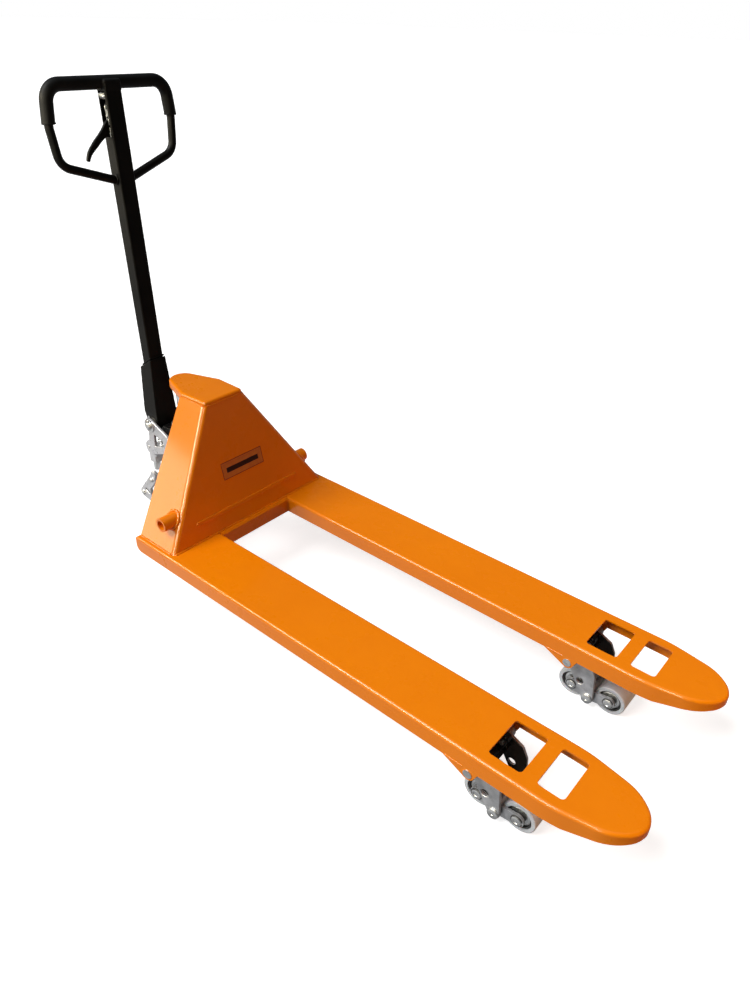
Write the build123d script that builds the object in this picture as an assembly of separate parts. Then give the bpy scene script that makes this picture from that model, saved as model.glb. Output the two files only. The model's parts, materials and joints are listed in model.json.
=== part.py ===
"""Hand pallet truck, standing with its forks raised and its handle upright.

Millimetres. +X runs towards the fork tips, +Y to the left of a person pushing the truck, +Z up.
The sizes below are given from the heel line (x = 0, the front face of the crossmember) and the
ground (z = 0). Every piece is moved at the end, so that the origin of the written files is the
centre of the whole truck's box on the ground.
"""

from build123d import *
import math
import os

# ---------------------------------------------------------------- driving dimensions

STROKE = 109.0                # how far the forks come down from the raised position
FORK_TOP = 184.0              # top of the forks when raised
FORK_LENGTH = 1220.0          # heel line to fork tip
HEEL_LENGTH = 161.0           # fork channel behind the heel line
FORK_WIDTH = 160.0
FORK_CENTRE = 200.0           # middle plane to each fork's centre line
FLANGE_DEPTH = 44.0
FORK_PLATE = 4.0
FORK_BEND = 7.0               # outer radius of the bend between top and flange

STEER_X = -262.0              # steering axis, which is also the ram's axis
WHEEL_RADIUS = 90.0
WHEEL_WIDTH = 50.0
WHEEL_CENTRE_Y = 54.0
WHEEL_AXLE_RADIUS = 12.5

ROLLER_RADIUS = 37.0
ROLLER_WIDTH = 68.0
ROLLER_AXLE_RADIUS = 8.0
ROLLER_HALF_SPACING = 46.5
BOGIE_DROP = 7.0              # the bogie pin sits this much below the roller axles

ARM_PIVOT_X = 898.0
ARM_PIVOT_Z = FORK_TOP - 56.0
ARM_PIN_RADIUS = 10.0
ARM_LENGTH = 112.0
ARM_LEVER = 40.2              # load arm pivot to push rod pin
ARM_TURN = math.degrees(math.asin(98.0 / ARM_LENGTH) - math.asin(-11.0 / ARM_LENGTH))
ARM_REST_ANGLE = math.degrees(math.asin(98.0 / ARM_LENGTH))

ROCKER_X = -62.0
ROCKER_Z = 254.0
ROCKER_LEVER = 84.0           # rocker shaft to push rod pin
ROCKER_SHAFT_RADIUS = 9.95
BUSH_RADIUS = 18.5
SEAT_PIN_Z = 200.0
ROCKER_TURN = math.degrees(math.atan(54.0 / 200.0) + math.atan(55.0 / 200.0))
ROD_Y = 186.0
ROD_PIN_RADIUS = 5.0
ROD_RADIUS = 8.0

RAM_RADIUS = 25.0
CYLINDER_RADIUS = 35.0

PIVOT_X = -384.0              # handle pivot
PIVOT_Z = 345.0
PIVOT_RADIUS = 8.0
CAM_ROLLER_X = -402.0
CAM_ROLLER_Z = 360.0
CAM_ROLLER_RADIUS = 11.0
PLUNGER_X = -404.5

HANDLE_LEAN = 2.33            # degrees back from upright
HANDLE_BASE_X = -389.0
HANDLE_BASE_Z = 430.0
TUBE_WIDTH = 44.0
TUBE_DEPTH = 36.0
TUBE_WALL = 2.5
LOOP_RADIUS = 10.0
GRIP_RADIUS = 15.0
CROSSBAR_Z = 1207.5
LEVER_PIVOT_Y = -4.0
LEVER_PIVOT_Z = 1118.0

RUNNING_FIT = 0.05            # radial clearance of a turning pin in its bore
SIDES = {"left": 1, "right": -1}

pieces = {}


# ---------------------------------------------------------------- helpers

def block(x0, x1, y0, y1, z0, z1):
    """A box given by its limits."""
    return Pos((x0 + x1) / 2, (y0 + y1) / 2, (z0 + z1) / 2) * Box(x1 - x0, y1 - y0, z1 - z0)


def rod_x(y, z, radius, x0, x1):
    """A round bar along X."""
    return Pos((x0 + x1) / 2, y, z) * Rot(0, 90, 0) * Cylinder(radius, x1 - x0)


def rod_y(x, z, radius, y0, y1):
    """A round bar along Y."""
    return Pos(x, (y0 + y1) / 2, z) * Rot(90, 0, 0) * Cylinder(radius, abs(y1 - y0))


def rod_z(x, y, radius, z0, z1):
    """A round bar along Z."""
    return Pos(x, y, (z0 + z1) / 2) * Cylinder(radius, z1 - z0)


def side_plate(outline, y0, y1):
    """A plate parallel to the XZ plane, from an outline drawn with x and z."""
    return Pos(0, y0, 0) * extrude(Plane.XZ * outline, amount=y1 - y0, dir=(0, 1, 0))


def polygon(points):
    """A flat face with straight sides."""
    return make_face(Polyline(points, close=True))


def strap(*circles):
    """The outline of a strap wrapped round circles given as (x, z, radius)."""
    edges = []
    for x, z, radius in circles:
        edges += (Pos(x, z) * Circle(radius)).edges()
    return make_hull(ShapeList(edges))


def mirrored(shape):
    """The piece and its mirror image in the truck's middle plane."""
    return [shape, mirror(shape, about=Plane.XZ)]


def top_edges(shape, z):
    """The edges lying in a level plane."""
    return shape.edges().filter_by_position(Axis.Z, z - 0.01, z + 0.01)


def add(name, *solids):
    """Keeps a node, which may be a group of separate solids."""
    flat = []
    for shape in solids:
        flat += shape.solids()
    pieces[name] = Compound(children=flat) if len(flat) > 1 else flat[0]


# ---------------------------------------------------------------- forks and tower

def fork_outline():
    """Plan of a fork about its own centre line: straight, then tapering to a round nose."""
    half = FORK_WIDTH / 2
    shoulder = (FORK_LENGTH - 150, half, 300)
    cheek = (FORK_LENGTH - 42.5, 61, 98)
    nose = (FORK_LENGTH - 6, 27, 58)
    tip = (FORK_LENGTH + 1, 0, 30)
    upper = [shoulder, cheek, nose, tip]
    lower = [(x, -y, radius) for x, y, radius in (nose, cheek, shoulder)]
    corners = upper + lower
    face = polygon([(-HEEL_LENGTH, half)] + [(x, y) for x, y, radius in corners] + [(-HEEL_LENGTH, -half)])
    for x, y, radius in corners:
        vertex = face.vertices().sort_by_distance((x, y, 0))[0]
        face = fillet(vertex, radius)
    return face


def fork_channel():
    """One fork, folded from plate: top, two flanges, round nose, two roller openings."""
    bottom = FORK_TOP - FLANGE_DEPTH
    outline = fork_outline()
    outer = Pos(0, 0, bottom) * extrude(outline, amount=FLANGE_DEPTH)
    outer = fillet(top_edges(outer, FORK_TOP), FORK_BEND)
    inside = offset(outline, amount=-FORK_PLATE, kind=Kind.INTERSECTION)
    inner = Pos(0, 0, bottom - 1) * extrude(inside, amount=FLANGE_DEPTH - FORK_PLATE + 1)
    half_inside = FORK_WIDTH / 2 - FORK_PLATE
    inner += block(-HEEL_LENGTH - 5, 0, -half_inside, half_inside, bottom - 1, FORK_TOP - FORK_PLATE)
    inner = fillet(top_edges(inner, FORK_TOP - FORK_PLATE), FORK_BEND - FORK_PLATE)
    fork = outer - inner
    for x0, x1 in ((920, 993), (1025, 1081)):
        opening = extrude(RectangleRounded(x1 - x0, 105, 8), amount=20)
        fork -= Pos((x0 + x1) / 2, 0, FORK_TOP - 12) * opening
    low = bottom - 1
    rise = polygon([(1088, low), (FORK_LENGTH + 5, low), (FORK_LENGTH + 5, low + 23), (1160, low + 13)])
    fork -= side_plate(rise, -FORK_WIDTH, FORK_WIDTH)
    corner = block(-HEEL_LENGTH - 1, -HEEL_LENGTH + 18, -90, 90, bottom - 1, bottom + 18)
    corner -= rod_y(-HEEL_LENGTH + 18, bottom + 18, 18, -91, 91)
    fork -= corner
    return fork


def tower_front(z):
    """x of the tower's front face."""
    return -14 - 83 * (z - FORK_TOP) / 327


def tower_rear(z):
    """x of the rear edge of the tower's sides."""
    return -154 - 40 * (z - FORK_TOP) / 320


def tower_half_width(z):
    """Half-width of the tower across its outer faces."""
    return 268 - 207 * (z - FORK_TOP) / 327


def tower_section(z, inset, radius):
    """Level section of the tower's outside, or of its inside when inset by the plate."""
    front = tower_front(z) - inset
    rear = tower_rear(z) - 3 * inset
    half = tower_half_width(z) - 1.15 * inset
    face = polygon([(front, half), (front, -half), (rear, -half), (rear, half)])
    corners = [v for v in face.vertices() if v.X > (front + rear) / 2]
    return Pos(0, 0, z) * fillet(corners, radius)


def make_chassis():
    """Forks, tower, cap, crossmember, bushes, lugs, pins and ram."""
    bottom = FORK_TOP - FLANGE_DEPTH
    channel = fork_channel()
    for side, sign in SIDES.items():
        fork = Pos(0, sign * FORK_CENTRE, 0) * channel
        slot_y = sign * ROD_Y
        fork -= block(-108, -22, slot_y - 17, slot_y + 17, FORK_TOP - 20, FORK_TOP + 5)
        add(side + "_fork", fork)

    tower_top = FORK_TOP + 318
    outer = loft([tower_section(FORK_TOP, 0, 12), tower_section(tower_top, 0, 12)], ruled=True)
    inner = loft([tower_section(FORK_TOP - 0.5, 4, 8), tower_section(tower_top + 0.5, 4, 8)], ruled=True)
    tower = outer - inner
    bead_z = FORK_TOP + 47
    front_lean = math.degrees(math.atan(83 / 327))
    bead = extrude(Rot(0, 0, 90) * SlotOverall(360, 11), amount=5)
    bead = fillet(top_edges(bead, 5), 2.5)
    tower += Pos(tower_front(bead_z), 0, bead_z) * Rot(0, 90 - front_lean, 0) * Pos(0, 0, -2) * bead
    tower -= rod_y(ROCKER_X, ROCKER_Z, BUSH_RADIUS, -300, 300)
    add("tower_plate", tower)

    tie_z = 440
    tie_x = tower_rear(tie_z) + 28
    tie_half = tower_half_width(tie_z) - 19
    add("tower_tie", block(tie_x - 3, tie_x + 3, -tie_half, tie_half, tie_z - 22, tie_z + 22))

    cap_top = tower_top + 12
    cap_corners = [(-105, 54.5, 9), (-188, 57, 9), (STEER_X, 0, 39)]
    cap_edges = []
    for x, y, radius in cap_corners:
        for side in (1, -1):
            cap_edges += (Pos(x, side * y) * Circle(radius)).edges()
    cap_face = make_hull(ShapeList(cap_edges))
    cap = Pos(0, 0, tower_top) * extrude(cap_face, amount=12)
    cap = fillet(top_edges(cap, cap_top), 8)
    skirt = Pos(0, 0, tower_top - 11) * extrude(cap_face, amount=13)
    skirt -= Pos(0, 0, tower_top - 12) * extrude(offset(cap_face, amount=-5), amount=16)
    skirt -= block(tower_rear(tower_top), 0, -100, 100, 400, 600)
    add("cap_plate", cap + skirt)

    front = polygon([(-5, bottom), (0, bottom), (0, FORK_TOP - 5), (-5, FORK_TOP), (-60, FORK_TOP), (-60, 179), (-5, 179)])
    cross = side_plate(front, -120, 120)
    add("crossmember", cross)

    bushes = []
    for sign, end in ((1, 245), (-1, 262)):
        bush = rod_y(ROCKER_X, ROCKER_Z, BUSH_RADIUS, sign * 200.5, sign * end)
        bush -= rod_y(ROCKER_X, ROCKER_Z, 10, sign * 200, sign * 265)
        bush -= rod_y(ROCKER_X, ROCKER_Z, 13, sign * 236.5, sign * 265)
        bushes.append(bush)
    add("rocker_bushes", *bushes)

    lug_face = make_hull(
        (Pos(ARM_PIVOT_X, ARM_PIVOT_Z) * Circle(15)).edges()
        + polygon([(838, bottom), (920, bottom), (920, FORK_TOP - 6), (838, FORK_TOP - 6)]).edges()
    )
    lug = side_plate(lug_face, 72, 80)
    lug -= block(800, 960, 75.95, 81, bottom, FORK_TOP)
    lug -= rod_y(ARM_PIVOT_X, ARM_PIVOT_Z, ARM_PIN_RADIUS, 60, 90)
    lugs = []
    pins = []
    for sign in SIDES.values():
        for shape in mirrored(lug):
            lugs.append(Pos(0, sign * FORK_CENTRE, 0) * shape)
        pins.append(rod_y(ARM_PIVOT_X, ARM_PIVOT_Z, ARM_PIN_RADIUS, sign * FORK_CENTRE - 81.5, sign * FORK_CENTRE + 81.5))
    add("load_arm_lugs", *lugs)
    add("load_arm_pins", *pins)

    ram = rod_z(STEER_X, 0, RAM_RADIUS, 300, 491)
    ram += Pos(STEER_X, 0, 491) * Cone(RAM_RADIUS, 14, 11, align=(Align.CENTER, Align.CENTER, Align.MIN))
    add("ram", ram)


# ---------------------------------------------------------------- rocker and push rods

def make_rocker():
    """The shaft across the tower, its rear arms to the pump and its short arms to the rods."""
    add("rocker_shaft", rod_y(ROCKER_X, ROCKER_Z, ROCKER_SHAFT_RADIUS, -236, 236))

    sleeve = rod_y(ROCKER_X, ROCKER_Z, 17, -199, 199)
    rear = side_plate(strap((ROCKER_X, ROCKER_Z, 22), (-146, 263, 14)), 46, 56)
    rear += side_plate(strap((-146, 263, 14), (STEER_X, SEAT_PIN_Z, 17)), 46, 56)
    slot_ends = [(STEER_X + dx, SEAT_PIN_Z + dz, 8.7) for dx in (-40, 9) for dz in (0, 2.5)]
    rear -= side_plate(strap(*slot_ends), 45, 57)
    brace = block(-128, -112, -50, 50, 250, 274)
    turn = math.radians(ROCKER_TURN / 2)
    pin_x = ROCKER_X + ROCKER_LEVER * math.sin(turn)
    pin_z = ROCKER_Z - ROCKER_LEVER * math.cos(turn)
    weldment = sleeve + brace
    for arm in mirrored(rear):
        weldment += arm
    for sign in SIDES.values():
        for y0 in (5.7, -12.7):
            ear = side_plate(strap((ROCKER_X, ROCKER_Z, 20), (pin_x, pin_z, 11)), y0, y0 + 7)
            weldment += Pos(0, sign * ROD_Y, 0) * ear
        weldment += rod_y(pin_x, pin_z, ROD_PIN_RADIUS, sign * ROD_Y - 14, sign * ROD_Y + 14)
    weldment -= rod_y(ROCKER_X, ROCKER_Z, ROCKER_SHAFT_RADIUS, -210, 210)
    add("rocker_arms", weldment)


def rod_eye(x, z, slot):
    """Flat end of a push rod, with an upright slot for the pin."""
    top = z + slot
    low = z - slot
    eye = side_plate(strap((x, top, 9.2), (x, low, 9.2)), -5, 5)
    return eye - side_plate(strap((x, top, 5.8), (x, low, 5.8)), -6, 6)


def make_push_rods():
    """A long bar under each fork between the rocker and the load arm."""
    rocker_turn = math.radians(ROCKER_TURN / 2)
    arm_turn = math.radians(ARM_TURN / 2)
    rear_x = ROCKER_X + ROCKER_LEVER * math.sin(rocker_turn)
    front_x = ARM_PIVOT_X + ARM_LEVER * math.sin(arm_turn)
    rear_z = ROCKER_Z - ROCKER_LEVER * (1 + math.cos(rocker_turn)) / 2
    front_z = ARM_PIVOT_Z + ARM_LEVER * (1 + math.cos(arm_turn)) / 2
    bar_z = (rear_z + front_z) / 2
    bar = rod_x(0, bar_z, ROD_RADIUS, rear_x + 22, front_x - 20)
    rear_tongue = side_plate(strap((rear_x + 13, rear_z, 6), (rear_x + 40, bar_z, 6)), -5, 5)
    front_tongue = side_plate(strap((front_x - 13, front_z, 6), (front_x - 40, bar_z, 6)), -5, 5)
    rod = bar + rear_tongue + front_tongue
    rod -= side_plate(strap((rear_x, rear_z + 2, 6), (rear_x, rear_z - 2, 6)), -6, 6)
    rod -= side_plate(strap((front_x, front_z + 4.2, 6), (front_x, front_z - 4.2, 6)), -6, 6)
    rod += rod_eye(rear_x, rear_z, 2.0)
    rod += rod_eye(front_x, front_z, 4.2)
    for side, sign in SIDES.items():
        add(side + "_push_rod", Pos(0, sign * ROD_Y, 0) * rod)


# ---------------------------------------------------------------- load roller gear

def make_load_gear():
    """Load arm, bogie and two rollers under each fork."""
    angle = math.radians(ARM_REST_ANGLE)
    bogie_x = ARM_PIVOT_X + ARM_LENGTH * math.cos(angle)
    bogie_z = ARM_PIVOT_Z - ARM_LENGTH * math.sin(angle)
    axle_z = bogie_z + BOGIE_DROP
    arm_turn = math.radians(ARM_TURN / 2)
    rod_pin_x = ARM_PIVOT_X + ARM_LEVER * math.sin(arm_turn)
    rod_pin_z = ARM_PIVOT_Z + ARM_LEVER * math.cos(arm_turn)
    axles_x = {"rear": bogie_x - ROLLER_HALF_SPACING, "front": bogie_x + ROLLER_HALF_SPACING}

    for side, sign in SIDES.items():
        centre = sign * FORK_CENTRE
        rod_y_offset = sign * ROD_Y - centre
        arm = rod_y(ARM_PIVOT_X, ARM_PIVOT_Z, 18, -71, 71)
        knee = (ARM_PIVOT_X + 42, ARM_PIVOT_Z - 9, 9)
        shin = (ARM_PIVOT_X + 54, ARM_PIVOT_Z - 30, 8)
        cheek = strap((ARM_PIVOT_X, ARM_PIVOT_Z, 18), knee, shin, (bogie_x, bogie_z, 14))
        cheek -= Pos(ARM_PIVOT_X + 30, ARM_PIVOT_Z - 58) * Circle(9)
        for y0 in (46, -54):
            arm += side_plate(cheek, y0, y0 + 8)
        along = Pos(ARM_PIVOT_X, 0, ARM_PIVOT_Z) * Rot(0, ARM_REST_ANGLE, 0)
        web = along * block(0, 23, -50, 50, 4, 14)
        web -= along * (Pos(14, 28, 9) * Cylinder(6, 30))
        arm += web
        for y0 in (5.7, -12.7):
            ear = side_plate(strap((ARM_PIVOT_X, ARM_PIVOT_Z, 16), (rod_pin_x, rod_pin_z, 9)), y0, y0 + 7)
            arm += Pos(0, rod_y_offset, 0) * ear
        arm -= rod_y(ARM_PIVOT_X, ARM_PIVOT_Z, ARM_PIN_RADIUS + RUNNING_FIT, -80, 80)
        arm -= rod_y(bogie_x, bogie_z, ARM_PIN_RADIUS + RUNNING_FIT, -60, 60)
        arm -= Pos(0, rod_y_offset, 0) * rod_y(rod_pin_x, rod_pin_z, ROD_PIN_RADIUS, -20, 20)
        add(side + "_load_arm", Pos(0, centre, 0) * arm)
        add(side + "_rod_pin", Pos(0, sign * ROD_Y, 0) * rod_y(rod_pin_x, rod_pin_z, ROD_PIN_RADIUS, -14.5, 14.5))

        pin = rod_y(bogie_x, bogie_z, ARM_PIN_RADIUS, -56, 56)
        for y0 in (54.4, -57.4):
            pin += rod_y(bogie_x, bogie_z, 12.5, y0, y0 + 3)
        add(side + "_bogie_pin", Pos(0, centre, 0) * pin)

        plates = []
        for y0 in (36, -42):
            outline = strap((bogie_x, bogie_z, 14), (axles_x["rear"], axle_z, 15))
            outline += strap((bogie_x, bogie_z, 14), (axles_x["front"], axle_z, 15))
            plate = side_plate(outline, y0, y0 + 6)
            plate -= rod_y(bogie_x, bogie_z, ARM_PIN_RADIUS + RUNNING_FIT, -60, 60)
            for axle_x in axles_x.values():
                plate -= rod_y(axle_x, axle_z, ROLLER_AXLE_RADIUS, -60, 60)
            plates.append(Pos(0, centre, 0) * plate)
        add(side + "_link_plates", *plates)

        axles = []
        for axle_x in axles_x.values():
            axle = rod_y(axle_x, axle_z, ROLLER_AXLE_RADIUS, -44, 44)
            for y0 in (42, -44.6):
                axle += rod_y(axle_x, axle_z, 11, y0, y0 + 2.6)
            axles.append(Pos(0, centre, 0) * axle)
        add(side + "_roller_axles", *axles)

        half = ROLLER_WIDTH / 2
        for place, axle_x in axles_x.items():
            tyre = rod_y(axle_x, axle_z, ROLLER_RADIUS, -half, half)
            tyre = fillet(tyre.edges().filter_by(GeomType.CIRCLE), 3)
            tyre -= rod_y(axle_x, axle_z, 28, -half - 1, half + 1)
            hub = rod_y(axle_x, axle_z, 28, 3 - half, half - 3)
            for y0, y1 in ((half - 9, half), (-half, 9 - half)):
                hub -= rod_y(axle_x, axle_z, 24, y0, y1) - rod_y(axle_x, axle_z, 13, y0 - 1, y1 + 1)
            hub += rod_y(axle_x, axle_z, 12, -half - 0.8, half + 0.8)
            hub -= rod_y(axle_x, axle_z, ROLLER_AXLE_RADIUS + RUNNING_FIT, -half - 2, half + 2)
            name = side + "_" + place + "_roller"
            add(name + "_tyre", Pos(0, centre, 0) * tyre)
            add(name + "_hub", Pos(0, centre, 0) * hub)


# ---------------------------------------------------------------- pump and steering

def make_pump():
    """The cast pump body and what is fixed to it."""
    body = rod_z(STEER_X, 0, CYLINDER_RADIUS, 186, 366)
    body += block(STEER_X - 36, STEER_X + 36, -26, 26, 96, 190)
    body += rod_y(STEER_X, WHEEL_RADIUS, 34, -26, 26)
    body += rod_z(STEER_X, 0, 43, 222, 236)
    body += block(-348, STEER_X, -30, 30, 262, 350)
    body += rod_z(-340, 0, 26, 262, 330)
    for y0 in (40, -48):
        frame = strap((PIVOT_X, PIVOT_Z, 20), (-316, 322, 15))
        frame += strap((-380, PIVOT_Z, 12), (-386, 275, 14))
        frame += strap((-395, 268, 24), (-394, 270, 23))
        frame += strap((-391, 262, 14), (-322, 284, 10))
        frame += strap((-322, 284, 10), (-316, 322, 15))
        body += side_plate(frame, y0, y0 + 8)
    body += block(-330, -300, -40, 40, 272, 328)
    body += rod_y(-395, 248, 14, -40, 40)
    body += rod_z(PLUNGER_X, 0, 20, 226, 262)
    body += block(-388, -330, -15, 15, 250, 290)
    body += block(-420, -392, -40, 16, 212, 246)
    body += block(-404, -296, -10, 10, 150, 176)
    body += rod_y(-396, 163, 13, -48, 12)
    body -= rod_z(STEER_X, 0, RAM_RADIUS + 1.5, 186, 370)
    body -= rod_y(STEER_X, WHEEL_RADIUS, WHEEL_AXLE_RADIUS, -60, 60)
    body -= rod_y(PIVOT_X, PIVOT_Z, PIVOT_RADIUS, -60, 60)
    body -= rod_z(PLUNGER_X, 0, 9 + RUNNING_FIT, 226, 270)
    body -= rod_y(-396, 163, 6, -60, 20)
    add("pump_body", body)

    gland = rod_z(STEER_X, 0, RAM_RADIUS + 1.5, 352, 370)
    gland += Pos(STEER_X, 0, 366) * extrude(RegularPolygon(37, 6), amount=12)
    gland -= rod_z(STEER_X, 0, RAM_RADIUS + RUNNING_FIT, 340, 390)
    add("gland_nut", gland)

    axle = rod_y(STEER_X, WHEEL_RADIUS, WHEEL_AXLE_RADIUS, -86, 86)
    add("wheel_axle", axle)
    clip = rod_y(STEER_X, WHEEL_RADIUS, 18, 80, 83) - rod_y(STEER_X, WHEEL_RADIUS, WHEEL_AXLE_RADIUS, 79, 84)
    add("axle_clips", *mirrored(clip))

    pin = rod_y(PIVOT_X, PIVOT_Z, PIVOT_RADIUS, -58, 58)
    for y0 in (48, -51):
        pin += rod_y(PIVOT_X, PIVOT_Z, 20, y0, y0 + 3)
    for y0 in (51, -56):
        pin += rod_y(PIVOT_X, PIVOT_Z, 11, y0, y0 + 5)
    add("handle_pivot_pin", pin)

    plugs = []
    for x, y, radius, z0, z1 in ((-406, 0, 10, 199, 212), (-405, -28, 10, 186, 212), (-330, 0, 9, 350, 358)):
        hexagon = extrude(RegularPolygon(radius, 6), amount=z1 - z0)
        plugs.append(Pos(x, y, z0) * hexagon)
    add("pump_plugs", *plugs)

    add("valve_lever_pin", rod_y(-396, 163, 6, -66, 14))

    seat = rod_z(STEER_X, 0, 44, 190, 211)
    for y0 in (40, -57):
        seat += rod_y(STEER_X, SEAT_PIN_Z, 8, y0, y0 + 17)
    seat -= rod_z(STEER_X, 0, CYLINDER_RADIUS + 0.3, 180, 220)
    add("bearing_seat", seat)
    thrust = rod_z(STEER_X, 0, 43, 211, 221.7) - rod_z(STEER_X, 0, CYLINDER_RADIUS + 0.3, 205, 225)
    add("thrust_bearing", thrust)

    plunger = rod_z(PLUNGER_X, 0, 9, 256, 342)
    plunger += rod_z(PLUNGER_X, 0, 11, 336, 347.3)
    add("plunger", plunger)

    turns = 6
    pitch = 68.0 / turns
    coil = Helix(pitch=pitch, height=68, radius=12)
    start = Plane(origin=coil @ 0, z_dir=coil % 0)
    spring = sweep(start * Circle(1.6), path=coil)
    add("plunger_spring", Pos(PLUNGER_X, 0, 266) * spring)

    lever = side_plate(strap((-396, 163, 14), (-428, 126, 14)), -60, -50)
    lever += side_plate(strap((-428, 126, 14), (-451, 97, 15), (-422, 90, 12)), -60, -50)
    lever -= side_plate(strap((-434, 115, 4.5), (-420, 108, 4.5)), -61, -49)
    lever += side_plate(strap((-396, 163, 14), (-386, 188, 9)), -60, -50)
    lever -= rod_y(-396, 163, 6 + RUNNING_FIT, -70, -40)
    add("valve_lever", lever)


def make_steering_wheels():
    """Tyre and hub of each steering wheel."""
    for side, sign in SIDES.items():
        y0 = sign * WHEEL_CENTRE_Y - WHEEL_WIDTH / 2
        y1 = y0 + WHEEL_WIDTH
        tyre = rod_y(STEER_X, WHEEL_RADIUS, WHEEL_RADIUS, y0, y1)
        tyre = fillet(tyre.edges().filter_by(GeomType.CIRCLE), 6)
        tyre -= rod_y(STEER_X, WHEEL_RADIUS, 72, y0 - 1, y1 + 1)
        hub = rod_y(STEER_X, WHEEL_RADIUS, 72, y0 + 2, y1 - 2)
        for a, b in ((y0, y0 + 14), (y1 - 14, y1)):
            hub -= rod_y(STEER_X, WHEEL_RADIUS, 62, a, b) - rod_y(STEER_X, WHEEL_RADIUS, 27, a - 1, b + 1)
        hub -= rod_y(STEER_X, WHEEL_RADIUS, WHEEL_AXLE_RADIUS + RUNNING_FIT, y0 - 1, y1 + 1)
        add(side + "_wheel_tyre", tyre)
        add(side + "_wheel_hub", hub)


# ---------------------------------------------------------------- handle

def up_handle(z):
    """Distance along the leaning tube, from its base, to a height above the ground."""
    return (z - HANDLE_BASE_Z) / math.cos(math.radians(HANDLE_LEAN))


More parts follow.
